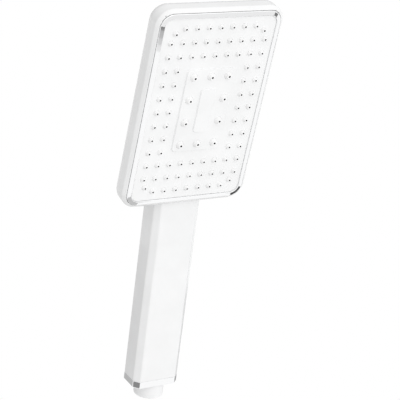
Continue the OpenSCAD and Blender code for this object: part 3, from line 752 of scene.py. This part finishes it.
def inlet_connector():
    """Inlet nipple, plug that closes the handle, and the spigot that the water tube pushes onto."""
    mouth = [(NIPPLE_BORE_R, NIPPLE_BORE), (NIPPLE_BORE_R, MOUTH_BEVEL), (NIPPLE_BORE_R + MOUTH_BEVEL, 0)]
    rim = arc_profile((nipple_r - NIPPLE_EDGE, NIPPLE_EDGE), NIPPLE_EDGE, 270, 360, 5)
    neck = [(nipple_r, NIPPLE_LEN), (NECK_R, NIPPLE_LEN), (NECK_R, FOOT)]
    groove_r = SPIGOT_R - GROOVE_DEPTH
    spigot = [(SPIGOT_R, PLUG_TOP), (SPIGOT_R, GROOVE - GROOVE_HALF), (groove_r, GROOVE - GROOVE_HALF),
              (groove_r, GROOVE + GROOVE_HALF), (SPIGOT_R, GROOVE + GROOVE_HALF),
              (SPIGOT_R, SPIGOT_TOP - SPIGOT_EDGE), (SPIGOT_R - SPIGOT_EDGE, SPIGOT_TOP)]
    bore = [(SPIGOT_BORE_R, SPIGOT_TOP), (SPIGOT_BORE_R, INNER_FLOOR), (INNER_R, INNER_FLOOR),
            (INNER_R, NIPPLE_BORE)]
    loops = [circle_loop(r, z) for r, z in mouth + rim + neck]
    loops += [section_loop(WALL + FIT_GAP, FOOT), section_loop(WALL + FIT_GAP, PLUG_TOP)]
    loops += [circle_loop(r, z) for r, z in spigot + bore]
    return loft("inlet", loops, closed=True)


# ---------------------------------------------------------------- materials
CLOUD_SCALE, GLOSS_SCALE = 60.0, 180.0      # noise scales of the colour's and the gloss's clouds
BUMP_DISTANCE = 0.0002

# Colour, roughness, and the strength and scale of the skin's bump; then what else differs
FINISHES = {
    "shell_plastic": ((0.866, 0.868, 0.87), 0.22, 0.03, 500.0,
                      dict(sockets={"Coat Weight": 0.3, "Coat Roughness": 0.08})),
    "face_plastic": ((0.895, 0.898, 0.9), 0.3, 0.04, 1400.0, {}),
    "trim_chrome": ((0.95, 0.953, 0.958), 0.05, 0.01, 300.0,
                    dict(rough_swing=0.02, tone=0.008, sockets={"Metallic": 1.0})),
    "nozzle_silicone": ((0.92, 0.92, 0.92), 0.45, 0.05, 2500.0,
                        dict(sockets={"Specular IOR Level": 0.35})),
    # painted shade: near-black colour for the walls of the water holes, standing in for the shadow deep inside
    # them
    "painted_bore_shade": ((0.05, 0.048, 0.05), 0.6, 0.05, 2500.0, dict(tone=0.2)),
    "button_plastic": ((0.84, 0.845, 0.85), 0.28, 0.04, 1200.0, {}),
    "inlet_plastic": ((0.85, 0.852, 0.855), 0.35, 0.05, 900.0, {}),
    "inner_plastic": ((0.72, 0.72, 0.7), 0.42, 0.08, 700.0, {}),
    "valve_plastic": ((0.78, 0.75, 0.66), 0.34, 0.05, 700.0, {}),
    "tube_plastic": ((0.78, 0.82, 0.85), 0.25, 0.03, 500.0,
                     dict(sockets={"Transmission Weight": 0.45})),
    "limiter_plastic": ((0.06, 0.36, 0.17), 0.35, 0.06, 900.0, dict(tone=0.08)),
    "seal_rubber": ((0.025, 0.025, 0.027), 0.62, 0.15, 2200.0, dict(tone=0.2)),
    "screw_steel": ((0.62, 0.61, 0.6), 0.3, 0.08, 1500.0,
                    dict(rough_swing=0.08, tone=0.05, sockets={"Metallic": 1.0})),
}


def finish(name, colour, roughness, bump, bump_scale, rough_swing=0.04, tone=0.02, sockets=None):
    """A moulded or metal surface: a little cloud in its colour and gloss, and a fine skin in its bump."""
    material = bpy.data.materials.new(name)
    material.use_nodes = True
    nodes, links = material.node_tree.nodes, material.node_tree.links
    shader = nodes["Principled BSDF"]
    coords = nodes.new("ShaderNodeTexCoord")

    def noise(noise_scale, detail):
        node = nodes.new("ShaderNodeTexNoise")
        node.inputs["Scale"].default_value = noise_scale
        node.inputs["Detail"].default_value = detail
        links.new(coords.outputs["Object"], node.inputs["Vector"])
        return node.outputs["Fac"]

    ramp = nodes.new("ShaderNodeValToRGB")
    dark, light = ramp.color_ramp.elements
    dark.position, light.position = 0.3, 0.7
    dark.color = (*[c * (1 - tone) for c in colour], 1)
    light.color = (*[min(c * (1 + tone), 1) for c in colour], 1)
    links.new(noise(CLOUD_SCALE, 3.0), ramp.inputs["Fac"])
    links.new(ramp.outputs["Color"], shader.inputs["Base Color"])

    spread = nodes.new("ShaderNodeMapRange")
    spread.inputs["To Min"].default_value = roughness - rough_swing
    spread.inputs["To Max"].default_value = roughness + rough_swing
    links.new(noise(GLOSS_SCALE, 4.0), spread.inputs["Value"])
    links.new(spread.outputs["Result"], shader.inputs["Roughness"])

    skin = nodes.new("ShaderNodeBump")
    skin.inputs["Strength"].default_value = bump
    skin.inputs["Distance"].default_value = BUMP_DISTANCE
    links.new(noise(bump_scale, 2.0), skin.inputs["Height"])
    links.new(skin.outputs["Normal"], shader.inputs["Normal"])
    for socket, value in (sockets or {}).items():
        shader.inputs[socket].default_value = value
    return material


# ---------------------------------------------------------------- studio
VIEW_AZIMUTH, VIEW_RISE, VIEW_ROLL = -32.18, 22.55, 7.47
VIEW_TARGET = (16.2, -10.2, 151.9)
VIEW_DISTANCE = 1083.6
VIEW_LENS = 144.0
CLIP_NEAR, CLIP_FAR = 0.05, 50
KEY_DIRECTION = (0.2, -0.78, 0.593)
AMBIENT, DIRECTED = 0.79, 0.52      # light from all round, and how much more comes from the key's side
LEAST_LIGHT = 0.5                   # least light from behind
FLOOR_SIZE, FLOOR_Z = 6.0, -0.12    # in metres
BAND_LEAN = math.atan(BAND_DROP / (RING_BAND - RING_OUTER_R - RING_INNER_R))    # of the ring's band
LEAN_STEP = 0.01


def view_back():
    """Direction from the object to the camera."""
    azimuth, rise = math.radians(VIEW_AZIMUTH), math.radians(VIEW_RISE)
    return Vector((math.sin(azimuth) * math.cos(rise), -math.cos(azimuth) * math.cos(rise), math.sin(rise)))


def add_object(name, data):
    obj = bpy.data.objects.new(name, data)
    bpy.context.scene.collection.objects.link(obj)
    return obj


def camera():
    data = bpy.data.cameras.new("camera")
    data.lens = VIEW_LENS
    data.clip_start, data.clip_end = CLIP_NEAR, CLIP_FAR
    obj = add_object("camera", data)
    obj.rotation_mode = "QUATERNION"
    level = (-view_back()).to_track_quat("-Z", "Y").to_matrix()
    obj.rotation_quaternion = (level @ Matrix.Rotation(math.radians(VIEW_ROLL), 3, "Z")).to_quaternion()
    obj.location = Vector(VIEW_TARGET) * MM + view_back() * VIEW_DISTANCE * MM
    bpy.context.scene.camera = obj


def glow(name, strength):
    """Even white light of one strength."""
    material = bpy.data.materials.new(name)
    material.use_nodes = True
    shader = material.node_tree.nodes["Principled BSDF"]
    shader.inputs["Base Color"].default_value = (0, 0, 0, 1)
    shader.inputs["Specular IOR Level"].default_value = 0
    shader.inputs["Emission Color"].default_value = (1, 1, 1, 1)
    shader.inputs["Emission Strength"].default_value = strength
    return material


def mirrored(normal):
    """Way that a surface with this normal throws the camera's line of sight."""
    back = view_back()
    return 2 * back.dot(normal) * normal - back


def plane(name, half_w, half_h, z, strength):
    """A flat glowing rectangle, in metres."""
    mesh = bpy.data.meshes.new(name)
    corners = [(-half_w, -half_h, z), (half_w, -half_h, z), (half_w, half_h, z), (-half_w, half_h, z)]
    mesh.from_pydata(corners, [], [(0, 1, 2, 3)])
    mesh.materials.append(glow(name, strength))
    obj = add_object(name, mesh)
    obj.visible_diffuse = obj.visible_shadow = False
    return obj


def card(name, place, normal, across, distance, size, tone):
    """A grey card, seen only in reflections, where a surface at place mirrors it to the camera.

    Its width lies the way that the reflection moves as the surface leans further across.
    """
    normal, across = Vector(normal).normalized(), Vector(across)
    way = mirrored(normal)
    wide = mirrored((normal + LEAN_STEP * across).normalized()) - way
    wide = (wide - wide.dot(way) * way).normalized()
    obj = plane(name, size[0] / 2 * MM, size[1] / 2 * MM, 0, tone)
    obj.location = (Vector(place) + way * distance) * MM
    obj.rotation_mode = "QUATERNION"
    obj.rotation_quaternion = Matrix((wide, way.cross(wide), way)).transposed().to_quaternion()
    obj.visible_camera = False


def ring_card(name, x, up, turn_deg, distance, size, tone):
    """A card mirrored by the ring's band, which there leans towards turn_deg round the face."""
    turn = math.radians(turn_deg)
    outwards = math.cos(turn) * ACROSS + math.sin(turn) * up_axis
    normal = math.cos(BAND_LEAN) * front_axis + math.sin(BAND_LEAN) * outwards
    card(name, in_head([x, up, 0.0]), normal, outwards, distance, size, tone)


def collar_card(name, turn_deg, distance, size, tone):
    """A card mirrored by the collar's side that faces turn_deg round the handle."""
    turn = math.radians(turn_deg)
    normal = (math.cos(turn), math.sin(turn), 0)
    place = (normal[0] * handle_w / 2, normal[1] * handle_d / 2, NIPPLE_LEN + COLLAR_H / 2)
    card(name, place, normal, (0, 0, 1), distance, size, tone)


def world_light():
    """Soft light from all round, strongest from the upper right in front."""
    world = bpy.data.worlds.new("studio")
    bpy.context.scene.world = world
    world.use_nodes = True
    nodes, links = world.node_tree.nodes, world.node_tree.links
    direction = nodes.new("ShaderNodeTexCoord")
    along = nodes.new("ShaderNodeVectorMath")
    along.operation = "DOT_PRODUCT"
    along.inputs[1].default_value = KEY_DIRECTION
    links.new(direction.outputs["Generated"], along.inputs[0])
    strength = nodes.new("ShaderNodeMath")
    strength.operation = "MULTIPLY_ADD"
    strength.inputs[1].default_value = DIRECTED
    strength.inputs[2].default_value = AMBIENT
    links.new(along.outputs["Value"], strength.inputs[0])
    at_least = nodes.new("ShaderNodeMath")
    at_least.operation = "MAXIMUM"
    at_least.inputs[1].default_value = LEAST_LIGHT
    links.new(strength.outputs["Value"], at_least.inputs[0])
    background = nodes["Background"]
    background.inputs["Color"].default_value = (1, 1, 1, 1)
    links.new(at_least.outputs["Value"], background.inputs["Strength"])


def reflections():
    """Cards for the ring and the collar: place or turn, distance, size and tone."""
    x, up = ring_w / 2 - RING_BAND, ring_h / 2 - RING_BAND
    ring_card("card_upper_left", 0.5 - x, up + 19, 180, 160, (90, 17), 0.25)
    ring_card("card_left_fade", 0.5 - x, up + 10, 180, 163, (90, 11), 0.5)
    ring_card("card_left_end", 0.5 - x, up + 5, 180, 166, (90, 11), 0.65)
    ring_card("card_left_last", 0.5 - x, up, 180, 169, (90, 11), 0.82)
    ring_card("card_upper_right", x - 2, up - 1, 60, 200, (70, 50), 0.2)
    ring_card("card_lower_right", x - 2, 2 - up, -45, 200, (150, 76), 0.08)
    ring_card("card_lower_left", 2 - x, 2 - up, 225, 60, (44, 52), 0.55)
    ring_card("card_top", -6, up + 2, 90, 420, (220, 300), 0.86)
    ring_card("card_top_corner", 4 - x, up - 1, 135, 430, (220, 260), 0.86)
    collar_card("card_collar_left", 180, 250, (140, 140), 0.48)
    collar_card("card_collar_corner", 225, 250, (120, 120), 0.25)
    collar_card("card_collar_right", -45, 250, (90, 90), 0.4)


def studio():
    bpy.context.scene.view_settings.view_transform = "Standard"
    world_light()
    plane("floor", FLOOR_SIZE, FLOOR_SIZE, FLOOR_Z, 1.0)
    reflections()


# ---------------------------------------------------------------- assembly
finishes = {name: finish(name, *values, **rest) for name, (*values, rest) in FINISHES.items()}


def dress(obj, slot, body, *nodes):
    """Gives a new piece its material and its body, and hides the CAD nodes that it stands for."""
    if not obj.data.materials:
        obj.data.materials.append(finishes[slot])
    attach(obj, body)
    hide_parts(*nodes)


bodies = frame["record"]["behaviour"]["bodies"]
body_of = {node: body for body, nodes in bodies.items() for node in nodes}
slot_of = {part["node"]: part["material_slot"] for part in frame["record"]["subparts"]}

# Each function here makes the piece that stands for the CAD node of its own name.
for make in (body_shell, trim_ring, face_plate, rain_nozzle_mat, massage_nozzle_mat, push_button,
             button_bezel, button_spring, end_collar, inlet_connector):
    node = make.__name__
    piece = make()
    if make is not body_shell:
        shade(piece)
    dress(piece, slot_of[node], body_of[node], node)

for name, obj in frame["nodes"].items():
    if obj.hide_render:
        continue
    obj.data.materials.clear()
    obj.data.materials.append(finishes[slot_of[name]])

camera()
studio()
